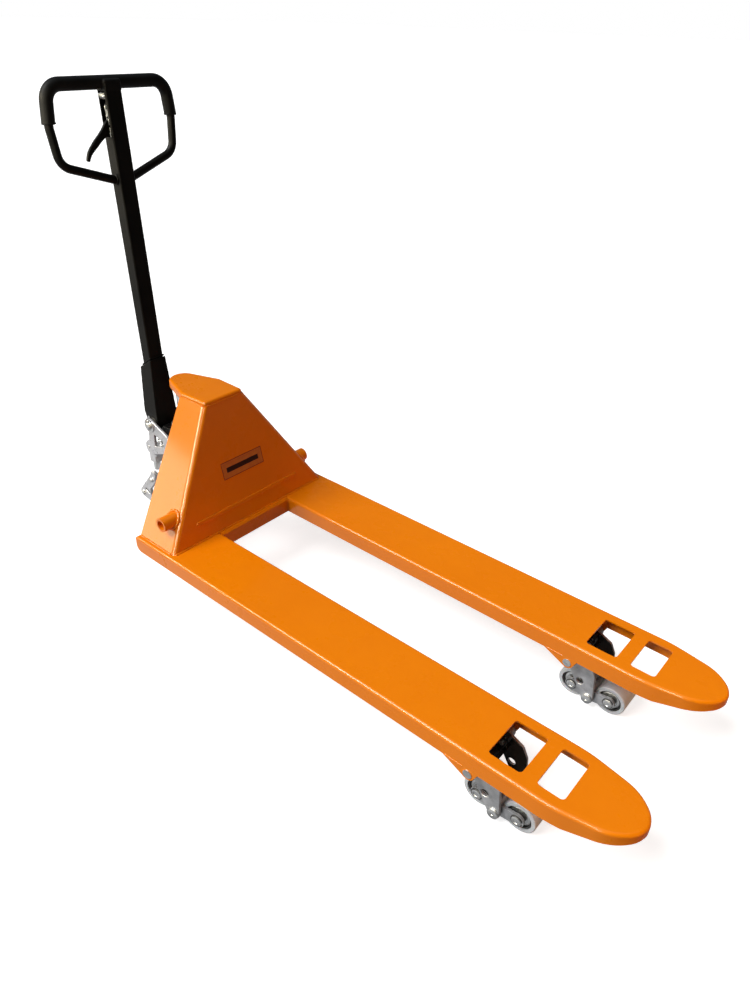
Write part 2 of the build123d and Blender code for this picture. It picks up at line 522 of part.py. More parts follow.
def make_handle():
    """Yoke, tube, loop, grip cover and the release lever with its chain."""
    lean = Pos(HANDLE_BASE_X, 0, HANDLE_BASE_Z) * Rot(0, -HANDLE_LEAN, 0)
    half_w = TUBE_WIDTH / 2
    half_d = TUBE_DEPTH / 2
    crossbar = up_handle(CROSSBAR_Z)
    tube_end = crossbar - 2

    low = Pos(0, 0, 378) * polygon([(-362.5, 35), (-362.5, -35), (-420, -35), (-420, 35)])
    high = Pos(0, 0, 545) * polygon([(-371, 25), (-371, -25), (-420, -25), (-420, 25)])
    yoke = loft([low, high], ruled=True)
    boss = make_hull(
        (Pos(PIVOT_X, PIVOT_Z) * Circle(23)).edges()
        + polygon([(-362.5, 378), (-362.5, 379), (-420, 379), (-420, 378)]).edges()
    )
    yoke += side_plate(boss, -35, 35)
    for y0 in (24, -38):
        yoke += rod_y(PIVOT_X, PIVOT_Z, 20, y0, y0 + 14)
    above = polygon([(-350, 553), (-440, 496), (-440, 600), (-350, 600)])
    yoke -= side_plate(above, -40, 40)
    yoke -= block(-450, -368, -26, 26, 300, 388)
    yoke -= block(-372, -340, -26, 26, 300, 335)
    yoke -= rod_y(-392, 388, 12, -26, 26)
    yoke -= rod_y(PIVOT_X, PIVOT_Z, PIVOT_RADIUS + RUNNING_FIT, -60, 60)
    yoke -= rod_y(CAM_ROLLER_X, CAM_ROLLER_Z, 5, -60, 60)
    yoke -= lean * block(-half_d, half_d, -half_w, half_w, 0, 200)
    yoke -= lean * rod_z(8, -12, 5, -60, 10)
    add("handle_yoke", yoke)

    section = RectangleRounded(TUBE_DEPTH, TUBE_WIDTH, 4)
    section -= RectangleRounded(TUBE_DEPTH - 2 * TUBE_WALL, TUBE_WIDTH - 2 * TUBE_WALL, 1.5)
    tube = extrude(section, amount=tube_end)
    slot_low = up_handle(1092)
    slot_high = up_handle(1191)
    tube -= block(-13, 12, -40, 0, slot_low, slot_high)
    tube -= rod_y(0, crossbar, LOOP_RADIUS + 0.05, -60, 60)
    lever_s = up_handle(LEVER_PIVOT_Z)
    tube -= rod_x(LEVER_PIVOT_Y, lever_s, 4, -40, 40)
    tube -= rod_x(-14, up_handle(1180), 4.5, -half_d - 1, 0)

    corners = ((0, 990, 30), (157, 1047, 38), (164, 1125, 60), (157, CROSSBAR_Z, 38))
    right_corners = ((160, 1041, 38), (169, 1125, 60), (159, CROSSBAR_Z, 38))
    points = [(y, up_handle(z), radius) for y, z, radius in corners]
    points += [(-y, up_handle(z), radius) for y, z, radius in reversed(right_corners)]
    loop_face = polygon([(y, s) for y, s, radius in points])
    for y, s, radius in points:
        loop_face = fillet(loop_face.vertices().sort_by_distance((y, s, 0))[0], radius)
    loop_wire = (Plane.YZ * loop_face).wires()[0]
    start = Plane(origin=loop_wire @ 0, z_dir=loop_wire % 0)
    loop = sweep(start * Circle(LOOP_RADIUS), path=loop_wire)
    loop -= block(-half_d, half_d, -half_w, half_w, up_handle(960), up_handle(1040))
    loop = max(loop.solids(), key=lambda s: s.volume)
    tube -= loop
    add("handle_tube", lean * max(tube.solids(), key=lambda s: s.volume))
    add("loop_bar", lean * loop)

    cover = sweep(start * Circle(GRIP_RADIUS), path=loop_wire)
    cover &= block(-60, 60, -250, 250, up_handle(1129), up_handle(1300))
    middle = block(-half_d - 1.2, half_d + 1.2, -half_w - 1.2, half_w + 1.2, up_handle(1189), crossbar + 7)
    middle = fillet(middle.edges().filter_by(Axis.Z), 5)
    cover += fillet(top_edges(middle, crossbar + 7), 6)
    cover -= sweep(start * Circle(LOOP_RADIUS + 0.05), path=loop_wire)
    cover -= block(-half_d, half_d, -half_w, half_w, up_handle(1100), tube_end + 0.05)
    add("grip_cover", lean * max(cover.solids(), key=lambda s: s.volume))

    add("cam_roller_pin", rod_y(CAM_ROLLER_X, CAM_ROLLER_Z, 5, -36, 36))
    roller = rod_y(CAM_ROLLER_X, CAM_ROLLER_Z, CAM_ROLLER_RADIUS, -13, 13)
    roller -= rod_y(CAM_ROLLER_X, CAM_ROLLER_Z, 5 + RUNNING_FIT, -20, 20)
    add("cam_roller", roller)

    add("lever_pin", lean * rod_x(LEVER_PIVOT_Y, lever_s, 4, -half_d, half_d))
    outline = [(-1, 1128), (-26, 1125), (-35, 1114), (-56, 1094), (-75, 1076), (-85, 1063), (-90, 1050)]
    underside = [(-83, 1046), (-78, 1055), (-60, 1071), (-44, 1084), (-20, 1099), (4, 1106)]
    tip = ThreePointArc((-90, up_handle(1050)), (-88, up_handle(1044.5)), (-83, up_handle(1046)))
    edge = Spline([(y, up_handle(z)) for y, z in outline])
    back = Spline([(y, up_handle(z)) for y, z in underside])
    heel = ThreePointArc((4, up_handle(1106)), (8, lever_s), (-1, up_handle(1128)))
    blade_face = make_face([edge, tip, back, heel])
    upper_arm = make_hull(
        (Pos(-4, lever_s) * Circle(8)).edges() + (Pos(-11, up_handle(1162)) * Circle(5)).edges()
    )
    blade = Pos(-4, 0, 0) * extrude(Plane.YZ * (blade_face + upper_arm), amount=8)
    blade -= rod_x(LEVER_PIVOT_Y, lever_s, 4 + RUNNING_FIT, -40, 40)
    add("release_lever", lean * blade)

    detent = rod_x(-14, up_handle(1180), 4.5, -half_d, 6)
    detent += rod_x(-14, up_handle(1180), 6.5, -6, 4)
    add("detent_pin", lean * detent)

    chain = rod_z(8, -12, 2, up_handle(400), up_handle(1160))
    add("pull_chain", lean * chain)


# ---------------------------------------------------------------- build and write

make_chassis()
make_rocker()
make_push_rods()
make_load_gear()
make_pump()
make_steering_wheels()
make_handle()

boxes = [shape.bounding_box() for shape in pieces.values()]
ORIGIN_X = (min(box.min.X for box in boxes) + max(box.max.X for box in boxes)) / 2

os.makedirs("parts", exist_ok=True)
for name, shape in pieces.items():
    export_step(Pos(-ORIGIN_X, 0, 0) * shape, "parts/" + name + ".step")
print(len(pieces), "nodes; origin at x =", round(ORIGIN_X, 2))
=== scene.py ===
"""Looks of the hand pallet truck: materials, small parts, floor, lights and camera.

Places are given in millimetres from the heel line (the front face of the crossmember), the
middle plane and the ground, as in the CAD, and at() turns them into the frame's metres.
"""
import json
import math
import random

import bmesh
import bpy
from mathutils import Matrix, Vector


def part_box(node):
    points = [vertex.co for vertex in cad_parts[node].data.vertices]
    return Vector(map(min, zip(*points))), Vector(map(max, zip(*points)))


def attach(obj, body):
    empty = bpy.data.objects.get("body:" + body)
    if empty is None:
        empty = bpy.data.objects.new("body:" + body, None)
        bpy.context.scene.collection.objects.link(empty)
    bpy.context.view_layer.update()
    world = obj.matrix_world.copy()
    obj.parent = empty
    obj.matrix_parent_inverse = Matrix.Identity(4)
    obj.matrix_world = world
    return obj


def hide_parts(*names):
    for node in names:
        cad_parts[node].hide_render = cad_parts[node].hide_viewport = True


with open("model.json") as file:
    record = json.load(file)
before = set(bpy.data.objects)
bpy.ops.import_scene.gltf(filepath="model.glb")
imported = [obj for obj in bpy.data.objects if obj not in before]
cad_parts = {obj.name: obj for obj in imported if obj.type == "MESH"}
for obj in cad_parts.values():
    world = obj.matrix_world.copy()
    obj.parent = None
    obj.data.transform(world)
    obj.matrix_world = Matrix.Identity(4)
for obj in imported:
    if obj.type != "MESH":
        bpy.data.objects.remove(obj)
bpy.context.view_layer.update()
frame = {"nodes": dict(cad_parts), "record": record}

nodes = frame["nodes"]
scene = bpy.context.scene
chance = random.Random(7)

MM = 0.001
HEEL_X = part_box("crossmember")[1].x
PIVOT = (-384.0, 345.0)
HANDLE_BASE = (-389.0, 430.0)
HANDLE_LEAN = math.radians(2.33)
SIDES = {"left": 1, "right": -1}
FORK_TOP = 184
TOWER_RISE = 327
CAP_SEAM = 502.5
BEAD_STEP = 1.4
LIP_HEIGHT = 1131.5
LIP_RADIUS = 14.0
ROLLER_CENTRE = 200.0


def at(x, y, z):
    """A point given in millimetres from the heel line, the middle plane and the ground."""
    return Vector((HEEL_X + x * MM, y * MM, z * MM))


def on_handle(x, y, z):
    """A point on the leaning handle: x in front of the tube's middle, y across, z the height."""
    along = (z - HANDLE_BASE[1]) / math.cos(HANDLE_LEAN)
    return at(HANDLE_BASE[0] + x * math.cos(HANDLE_LEAN) - along * math.sin(HANDLE_LEAN), y,
              HANDLE_BASE[1] + x * math.sin(HANDLE_LEAN) + along * math.cos(HANDLE_LEAN))


# ---------------------------------------------------------------- materials

class Finish:
    """A node material under construction."""

    def __init__(self, name, **settings):
        self.material = bpy.data.materials.new(name)
        self.material.use_nodes = True
        self.tree = self.material.node_tree
        self.tree.nodes.clear()
        output = self.add("ShaderNodeOutputMaterial")
        self.shader = self.add("ShaderNodeBsdfPrincipled")
        self.link(self.shader.outputs["BSDF"], output.inputs["Surface"])
        self.place = self.add("ShaderNodeTexCoord").outputs["Object"]
        for socket, value in settings.items():
            self.shader.inputs[socket.replace("_", " ")].default_value = value

    def add(self, kind, **settings):
        node = self.tree.nodes.new(kind)
        for key, value in settings.items():
            setattr(node, key, value)
        return node

    def link(self, source, target):
        self.tree.links.new(source, target)

    def stretched(self, scale):
        """Object coordinates scaled differently along each axis."""
        mapping = self.add("ShaderNodeMapping")
        mapping.inputs["Scale"].default_value = scale
        self.link(self.place, mapping.inputs["Vector"])
        return mapping.outputs["Vector"]

    def noise(self, scale, detail=2.0, rough=0.5, vector=None, distortion=0.0):
        node = self.add("ShaderNodeTexNoise")
        node.inputs["Scale"].default_value = scale
        node.inputs["Detail"].default_value = detail
        node.inputs["Roughness"].default_value = rough
        node.inputs["Distortion"].default_value = distortion
        self.link(vector or self.place, node.inputs["Vector"])
        return node.outputs["Fac"]

    def cells(self, scale, feature="F1", vector=None):
        node = self.add("ShaderNodeTexVoronoi", feature=feature)
        node.inputs["Scale"].default_value = scale
        self.link(vector or self.place, node.inputs["Vector"])
        return node.outputs["Distance"]

    def remap(self, value, low, high, to_low=0.0, to_high=1.0):
        node = self.add("ShaderNodeMapRange")
        node.inputs["From Min"].default_value = low
        node.inputs["From Max"].default_value = high
        node.inputs["To Min"].default_value = to_low
        node.inputs["To Max"].default_value = to_high
        self.link(value, node.inputs["Value"])
        return node.outputs["Result"]

    def maths(self, operation, first, second):
        """One arithmetic step on numbers or sockets."""
        node = self.add("ShaderNodeMath", operation=operation)
        for index, value in enumerate((first, second)):
            if isinstance(value, (int, float)):
                node.inputs[index].default_value = value
            else:
                self.link(value, node.inputs[index])
        return node.outputs["Value"]

    def blend(self, factor, first, second):
        """Colour between two colours, each a constant or a socket."""
        node = self.add("ShaderNodeMix", data_type="RGBA")
        self.link(factor, node.inputs[0])
        for index, value in ((6, first), (7, second)):
            if isinstance(value, tuple):
                node.inputs[index].default_value = (*value, 1.0)
            else:
                self.link(value, node.inputs[index])
        return node.outputs[2]

    def edges(self, radius):
        """1 on sharp outer edges, 0 elsewhere."""
        bevel = self.add("ShaderNodeBevel", samples=4)
        bevel.inputs["Radius"].default_value = radius
        geometry = self.add("ShaderNodeNewGeometry")
        dot = self.add("ShaderNodeVectorMath", operation="DOT_PRODUCT")
        self.link(bevel.outputs["Normal"], dot.inputs[0])
        self.link(geometry.outputs["Normal"], dot.inputs[1])
        return self.remap(dot.outputs["Value"], 0.985, 0.85)

    def upness(self):
        """How far the surface faces up, from -1 to 1."""
        split = self.add("ShaderNodeSeparateXYZ")
        self.link(self.add("ShaderNodeNewGeometry").outputs["Normal"], split.inputs["Vector"])
        return split.outputs["Z"]

    def bump(self, height, strength, distance=0.001, under=None):
        node = self.add("ShaderNodeBump")
        node.inputs["Strength"].default_value = strength
        node.inputs["Distance"].default_value = distance
        self.link(height, node.inputs["Height"])
        if under is not None:
            self.link(under, node.inputs["Normal"])
        return node.outputs["Normal"]

    def paint(self, colour=None, rough=None, normal=None, metal=None):
        for name, value in (("Base Color", colour), ("Roughness", rough),
                            ("Normal", normal), ("Metallic", metal)):
            if value is not None:
                self.link(value, self.shader.inputs[name])
        return self.material


def orange_paint():
    f = Finish("orange_enamel", Coat_Weight=0.5, Coat_Roughness=0.10, Specular_IOR_Level=0.12)
    broad = f.noise(3.0, 4.0, 0.6)
    colour = f.blend(f.remap(broad, 0.3, 0.7), (0.82, 0.205, 0.0005), (0.87, 0.228, 0.001))
    mottle = f.remap(f.noise(38.0, 3.0, 0.6), 0.35, 0.75, 0.0, 0.18)
    colour = f.blend(mottle, colour, (0.80, 0.175, 0.001))
    chip_noise = f.noise(170.0, 3.0, 0.7)
    chips = f.maths("MULTIPLY", f.edges(0.0012), f.remap(chip_noise, 0.62, 0.68))
    colour = f.blend(chips, colour, (0.10, 0.055, 0.035))
    spots = f.maths("LESS_THAN", f.cells(26.0), f.remap(f.noise(5.0), 0.60, 0.80, 0.0, 0.10))
    colour = f.blend(f.maths("MULTIPLY", spots, 0.35), colour, (0.16, 0.05, 0.02))
    scratch = f.remap(f.noise(1.0, 4.0, 0.7, f.stretched((9.0, 420.0, 60.0))), 0.62, 0.72)
    dust = f.remap(f.noise(9.0, 5.0, 0.7), 0.45, 0.8)
    rough = f.maths("ADD", f.remap(dust, 0.0, 1.0, 0.27, 0.40), f.maths("MULTIPLY", scratch, 0.12))
    rough = f.maths("ADD", rough, f.maths("MULTIPLY", chips, 0.3))
    peel = f.bump(f.noise(420.0, 2.0, 0.5), 0.10, 0.0006)
    waves = f.bump(f.noise(22.0, 2.0, 0.4), 0.22, 0.0015, peel)
    return f.paint(colour, rough, waves)


def black_paint():
    f = Finish("black_enamel", Specular_IOR_Level=0.16)
    cloud = f.noise(12.0, 4.0, 0.6)
    colour = f.blend(f.remap(cloud, 0.3, 0.7), (0.0020, 0.0020, 0.0020), (0.0045, 0.0045, 0.0045))
    rub = f.maths("MULTIPLY", f.edges(0.0010), f.remap(f.noise(140.0, 3.0, 0.7), 0.50, 0.68))
    colour = f.blend(rub, colour, (0.11, 0.11, 0.115))
    rough = f.remap(f.noise(30.0, 4.0, 0.6), 0.3, 0.7, 0.36, 0.52)
    grain = f.bump(f.noise(900.0, 2.0, 0.5), 0.20, 0.0004)
    return f.paint(colour, rough, grain)


def black_grip():
    f = Finish("black_moulded_cover", Specular_IOR_Level=0.14)
    cloud = f.noise(20.0, 3.0, 0.6)
    colour = f.blend(f.remap(cloud, 0.3, 0.7), (0.0035, 0.0042, 0.0050), (0.0065, 0.0078, 0.0090))
    rough = f.remap(f.noise(45.0, 4.0, 0.6), 0.3, 0.7, 0.42, 0.58)
    leather = f.bump(f.cells(900.0), 0.30, 0.0003)
    return f.paint(colour, rough, f.bump(f.noise(60.0, 2.0), 0.10, 0.001, leather))


def cast_metal(name, dark, light, rough_low, rough_high, metal=0.85, hollow=None):
    """Cast iron or steel with a thin grey coat, coloured near-black inside a hollow given in metres; in
    the load arms that near-black is painted shade.
    """
    f = Finish(name, Metallic=metal)
    cloud = f.noise(32.0, 5.0, 0.65)
    colour = f.blend(f.remap(cloud, 0.28, 0.72), dark, light)
    pits = f.remap(f.cells(360.0), 0.05, 0.22)
    soot = f.remap(f.noise(70.0, 4.0, 0.7), 0.55, 0.80, 0.0, 0.6)
    colour = f.blend(soot, colour, tuple(0.42 * c for c in dark))
    rub = f.edges(0.0012)
    colour = f.blend(f.maths("MULTIPLY", rub, 0.6), colour, tuple(min(1.0, 1.35 * c) for c in light))
    # Inside the hollow the colour turns near-black. For the load arms this is painted shade on the
    # faces inside the fork channel. For the pump it colours the middle between the cheeks near-black
    # above 262 mm.
    if hollow:
        split = f.add("ShaderNodeSeparateXYZ")
        f.link(f.place, split.inputs["Vector"])
        middle, reach, floor = hollow
        out = f.maths("SUBTRACT", f.maths("ABSOLUTE", split.outputs["Y"], 0.0), middle)
        near = f.maths("LESS_THAN", f.maths("ABSOLUTE", out, 0.0), reach)
        high = f.maths("GREATER_THAN", split.outputs["Z"], floor)
        colour = f.blend(f.maths("MULTIPLY", near, high), colour, (0.014, 0.014, 0.014))
    rough = f.remap(f.noise(55.0, 4.0, 0.6), 0.3, 0.7, rough_low, rough_high)
    sand = f.bump(f.noise(620.0, 4.0, 0.65), 0.42, 0.0006)
    return f.paint(colour, rough, f.bump(pits, 0.18, 0.0005, sand))


def plated_steel():
    f = Finish("zinc_plate", Metallic=1.0)
    cloud = f.noise(60.0, 4.0, 0.6)
    colour = f.blend(f.remap(cloud, 0.3, 0.7), (0.50, 0.52, 0.54), (0.74, 0.75, 0.76))
    rough = f.remap(f.noise(120.0, 4.0, 0.6), 0.3, 0.7, 0.24, 0.42)
    turned = f.bump(f.noise(1.0, 3.0, 0.6, f.stretched((160.0, 1500.0, 160.0))), 0.10, 0.0003)
    return f.paint(colour, rough, turned)


def chrome():
    f = Finish("hard_chrome", Metallic=1.0)
    film = f.remap(f.noise(40.0, 4.0, 0.6), 0.45, 0.75)
    colour = f.blend(film, (0.78, 0.79, 0.80), (0.62, 0.61, 0.58))
    rough = f.remap(film, 0.0, 1.0, 0.07, 0.24)
    ground = f.bump(f.noise(1.0, 2.0, 0.5, f.stretched((1800.0, 1800.0, 60.0))), 0.05, 0.0002)
    return f.paint(colour, rough, ground)


def polymer(name, clean, worn, stain):
    """Nylon tread: pale, a little scuffed round its rim."""
    f = Finish(name, Subsurface_Weight=0.08, Subsurface_Scale=0.004)
    cloud = f.noise(25.0, 4.0, 0.6)
    colour = f.blend(f.remap(cloud, 0.3, 0.7), clean, worn)
    scuff = f.remap(f.noise(1.0, 5.0, 0.7, f.stretched((120.0, 700.0, 120.0))), 0.56, 0.72, 0.0, 0.55)
    colour = f.blend(scuff, colour, stain)
    flecks = f.remap(f.noise(260.0, 3.0, 0.7), 0.66, 0.72, 0.0, 0.7)
    colour = f.blend(flecks, colour, tuple(0.4 * c for c in stain))
    rough = f.remap(scuff, 0.0, 0.55, 0.36, 0.60)
    return f.paint(colour, rough, f.bump(f.noise(300.0, 3.0, 0.6), 0.15, 0.0005))


def dark_hub():
    f = Finish("dark_hub_casting")
    cloud = f.noise(60.0, 4.0, 0.6)
    colour = f.blend(f.remap(cloud, 0.3, 0.7), (0.010, 0.010, 0.011), (0.028, 0.028, 0.030))
    rub = f.maths("MULTIPLY", f.edges(0.0008), 0.35)
    colour = f.blend(rub, colour, (0.14, 0.14, 0.15))
    rough = f.remap(f.noise(90.0, 3.0, 0.6), 0.3, 0.7, 0.42, 0.62)
    return f.paint(colour, rough, f.bump(f.noise(500.0, 3.0, 0.6), 0.25, 0.0005))


def label_finish(name, first, second):
    """Printed film of one colour, a little uneven."""
    f = Finish(name, Specular_IOR_Level=0.3)
    colour = f.blend(f.remap(f.noise(60.0, 3.0, 0.6), 0.3, 0.7), first, second)
    rough = f.remap(f.noise(90.0, 3.0, 0.6), 0.3, 0.7, 0.38, 0.5)
    return f.paint(colour, rough, f.bump(f.noise(300.0, 2.0), 0.05, 0.0003))


# Dark and light colour, lowest and highest roughness, and how metallic the coat is.
DULL_ZINC = ((0.30, 0.31, 0.33), (0.60, 0.61, 0.64), 0.30, 0.48, 0.7)
BRIGHT_ZINC = ((0.50, 0.50, 0.52), (0.80, 0.80, 0.83), 0.24, 0.42, 0.7)
# Middle distance from the middle plane, reach to each side of it and lowest height, in metres.
PUMP_WINDOW = (0.0, 0.0385, 0.262)
# Painted shade: the load arms' faces inside the fork channel are coloured near-black.
ARM_PAINTED_SHADE = (0.2, 0.0475, 0.0)

FINISHES = {
    "orange_paint": orange_paint(),
    "black_paint": black_paint(),
    "black_grip": black_grip(),
    "cast_zinc": cast_metal("cast_zinc_coat", *DULL_ZINC),
    "bright_zinc": cast_metal("bright_zinc_coat", *BRIGHT_ZINC),
    "pump_casting": cast_metal("pump_casting", *BRIGHT_ZINC, PUMP_WINDOW),
    # Load arm casting with painted shade inside the fork channel.
    "arm_casting_painted_shade": cast_metal("arm_casting_painted_shade", *DULL_ZINC, ARM_PAINTED_SHADE),
    "plated_steel": plated_steel(),
    "chrome_steel": chrome(),
    "roller_polymer": polymer("roller_nylon", (0.66, 0.68, 0.70), (0.54, 0.56, 0.58),
                              (0.30, 0.29, 0.27)),
    "dark_hub": dark_hub(),
    "wheel_polymer": polymer("wheel_nylon", (0.60, 0.61, 0.61), (0.50, 0.50, 0.49), (0.24, 0.22, 0.20)),
    "wheel_hub": cast_metal("wheel_hub_casting", (0.055, 0.055, 0.058), (0.10, 0.10, 0.105),
                            0.42, 0.6, 0.3),
    "label_field": label_finish("label_field", (0.60, 0.19, 0.03), (0.52, 0.15, 0.03)),
    "label_line": label_finish("label_line", (0.20, 0.02, 0.004), (0.14, 0.014, 0.003)),
    "label_bar": label_finish("label_bar", (0.030, 0.004, 0.003), (0.018, 0.003, 0.003)),
}


# ---------------------------------------------------------------- finish of the CAD nodes

def smooth(obj, angle=32.0):
    """Smooth shading with sharp edges kept where faces meet at more than the angle."""
    mesh = obj.data
    mesh.polygons.foreach_set("use_smooth", [True] * len(mesh.polygons))
    mesh.set_sharp_from_angle(angle=math.radians(angle))
    mesh.update()


SLOT_OF = {entry["node"]: entry["material_slot"] for entry in frame["record"]["subparts"]}
BODY_OF = {name: body for body, held in frame["record"]["behaviour"]["bodies"].items() for name in held}

for node_name, node in nodes.items():
    smooth(node)
    for holder in node.material_slots:
        holder.material = FINISHES[SLOT_OF[node_name]]


def break_edges(names, width, segments=2):
    """Small rounded edges on CAD nodes, as a plate has after painting."""
    for name in names:
        bevel = nodes[name].modifiers.new("broken_edges", "BEVEL")
        bevel.width = width * MM
        bevel.segments = segments
        bevel.limit_method = "ANGLE"
        bevel.angle_limit = math.radians(40.0)
        bevel.use_clamp_overlap = True
        bevel.harden_normals = False


break_edges(["tower_plate", "crossmember", "load_arm_lugs", "rocker_bushes"], 0.7)
break_edges(["left_fork", "right_fork"], 1.1)
break_edges(["handle_tube", "axle_clips", "gland_nut", "pump_plugs", "left_link_plates",
             "right_link_plates", "tower_tie"], 0.5)


# ---------------------------------------------------------------- pieces made here

def keep(name, form, finish, body, sharp=32.0):
    """Turns a form into a piece of the object that moves with a body."""
    mesh = bpy.data.meshes.new(name)
    bmesh.ops.recalc_face_normals(form, faces=form.faces[:])
    form.to_mesh(mesh)
    form.free()
    mesh.materials.append(FINISHES[finish])
    piece = bpy.data.objects.new(name, mesh)
    scene.collection.objects.link(piece)
    smooth(piece, sharp)
    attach(piece, body)
    return piece


def casting(name, voxel, passes, finish=None):
    """Stands for a CAD solid with every edge and inner corner rounded, as on a casting."""
    copy = bpy.data.objects.new(name + "_cast", nodes[name].data.copy())
    scene.collection.objects.link(copy)
    remesh = copy.modifiers.new("voxels", "REMESH")
    remesh.mode = "VOXEL"
    remesh.voxel_size = voxel * MM
    soft = copy.modifiers.new("soft", "SMOOTH")
    soft.factor = 0.5
    soft.iterations = passes
    bpy.context.view_layer.update()
    evaluated = copy.evaluated_get(bpy.context.evaluated_depsgraph_get())
    mesh = bpy.data.meshes.new_from_object(evaluated)
    copy.modifiers.clear()
    copy.data = mesh
    mesh.materials.clear()
    mesh.materials.append(FINISHES[finish or SLOT_OF[name]])
    smooth(copy, 60.0)
    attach(copy, BODY_OF[name])
    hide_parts(name)


def sweep_rings(form, path, radii, sides=8, closed=False, squeeze=(1.0, 1.0)):
    """A tube of rings along a path of points, capped at its ends unless it is closed."""
    count = len(path)
    rings = []
    across = None
    for index, point in enumerate(path):
        before = path[index - 1] if index or closed else point
        after = path[(index + 1) % count] if index + 1 < count or closed else point
        forward = (after - before).normalized()
        if across is None:
            across = forward.orthogonal().normalized()
        across = (across - forward * across.dot(forward)).normalized()
        up = forward.cross(across)
        ring = []
        for step in range(sides):
            angle = 2 * math.pi * step / sides
            offset = across * (math.cos(angle) * squeeze[0]) + up * (math.sin(angle) * squeeze[1])
            ring.append(form.verts.new(point + offset * radii[index]))
        rings.append(ring)
    pairs = list(zip(rings, rings[1:]))
    if closed:
        pairs.append((rings[-1], rings[0]))
    for first, second in pairs:
        for step in range(sides):
            after = (step + 1) % sides
            form.faces.new((first[step], first[after], second[after], second[step]))
    if not closed:
        form.faces.new(rings[0])
        form.faces.new(rings[-1])


def along(corners, step):
    """Points at even steps along a line through corners."""
    points = []
    for start, end in zip(corners, corners[1:]):
        count = max(1, round((end - start).length / step))
        points += [start.lerp(end, index / count) for index in range(count)]
    return points + [corners[-1]]


def weld(form, corners, radius, closed=False, pitch=4.2):
    """A welded bead: overlapping ripples along a line, uneven as laid by hand."""
    if closed:
        corners = corners + [corners[0]]
    path = along(corners, BEAD_STEP * MM)
    if closed:
        path = path[:-1]
    radii = []
    place = 0.0
    wander = [Vector([chance.uniform(-0.12, 0.12) * radius * MM for _ in range(3)]) for _ in path]
    for index, point in enumerate(path):
        ripple = (place % pitch) / pitch
        place += BEAD_STEP * chance.uniform(0.85, 1.15)
        swell = 0.86 + 0.24 * math.sqrt(1.0 - ripple) + chance.uniform(-0.04, 0.04)
        radii.append(radius * MM * swell)
        near = wander[max(0, index - 1):index + 2]
        path[index] = point + sum(near, Vector()) / len(near)
    if not closed:
        radii[0] *= 0.4
        radii[-1] *= 0.4
    sweep_rings(form, path, radii, 8, closed)


def circle_points(centre, axis, radius, count, start=0.0, turn=360.0):
    """Points round a centre, in the plane square to an axis."""
    axis = Vector(axis).normalized()
    if abs(axis.x) > 0.9:
        first = axis.orthogonal().normalized()
    else:
        first = (Vector((1, 0, 0)) - axis * axis.x).normalized()
    second = axis.cross(first)
    points = []
    for index in range(count):
        angle = math.radians(start + turn * index / (count if turn == 360.0 else count - 1))
        points.append(centre + (first * math.cos(angle) + second * math.sin(angle)) * radius * MM)
    return points


def turned(form, centre, axis, profile, count=40):
    """A solid of revolution from pairs of distance along the axis and radius, in millimetres."""
    axis = Vector(axis).normalized()
    rings = []
    for distance, radius in profile:
        middle = centre + axis * distance * MM
        rings.append([form.verts.new(p) for p in circle_points(middle, axis, max(radius, 0.01), count)])
    for first, second in zip(rings, rings[1:]):
        for step in range(count):
            after = (step + 1) % count
            form.faces.new((first[step], first[after], second[after], second[step]))
    form.faces.new(rings[0])
    form.faces.new(rings[-1])


def tower_front(z):
    """How far in front of the heel line the tower's front face is at a height."""
    return -14 - 83 * (z - FORK_TOP) / TOWER_RISE


def tower_half(z):
    """Half the tower's width at a height."""
    return 268 - 207 * (z - FORK_TOP) / TOWER_RISE


# ---------------------------------------------------------------- castings

casting("pump_body", 1.5, 5, "pump_casting")
casting("bearing_seat", 1.5, 3)
casting("valve_lever", 0.9, 8, "bright_zinc")
# The load arms carry painted shade, near-black, on their faces inside the fork channel.
casting("left_load_arm", 1.2, 4, "arm_casting_painted_shade")
casting("right_load_arm", 1.2, 4, "arm_casting_painted_shade")
casting("handle_yoke", 1.4, 5)
casting("release_lever", 0.9, 9)
casting("cap_plate", 1.5, 3)
casting("grip_cover", 1.3, 4)


# ---------------------------------------------------------------- welds

def make_tower_welds():
    """Beads round the tower's foot, its bushes and cap, and beside the lugs under the forks."""
    form = bmesh.new()
    weld(form, [at(-12.6, -262, 184.6), at(-12.6, 262, 184.6)], 2.6)
    for sign in SIDES.values():
        weld(form, [at(-150, sign * 268.6, 184.6), at(-24, sign * 268.6, 184.6)], 2.6)
        weld(form, [at(-153.4, sign * 262, 184.6), at(-153.4, sign * 130, 184.6)], 2.4)
        ring = []
        for index in range(48):
            angle = 2 * math.pi * index / 48
            z = 254 + 20.4 * math.sin(angle)
            ring.append(at(-62 + 20.4 * math.cos(angle), sign * (tower_half(z) + 0.8), z))
        weld(form, ring, 4.3, closed=True)
        weld(form, [at(1.0, sign * 119.4, 143), at(1.0, sign * 119.4, 176)], 2.2)
        weld(form, [at(-188, sign * 65.4, CAP_SEAM), at(-106, sign * 64.4, CAP_SEAM)], 1.4)
        for y in (sign * ROLLER_CENTRE - 76, sign * ROLLER_CENTRE + 76):
            weld(form, [at(842, y - 3.6, 141), at(886, y - 3.6, 141)], 1.5)
            weld(form, [at(842, y + 3.6, 141), at(886, y + 3.6, 141)], 1.5)
    weld(form, [at(-95.4, -54, 502.6), at(-95.4, 54, 502.6)], 1.3)
    keep("tower_welds", form, "orange_paint", "chassis", 180.0)


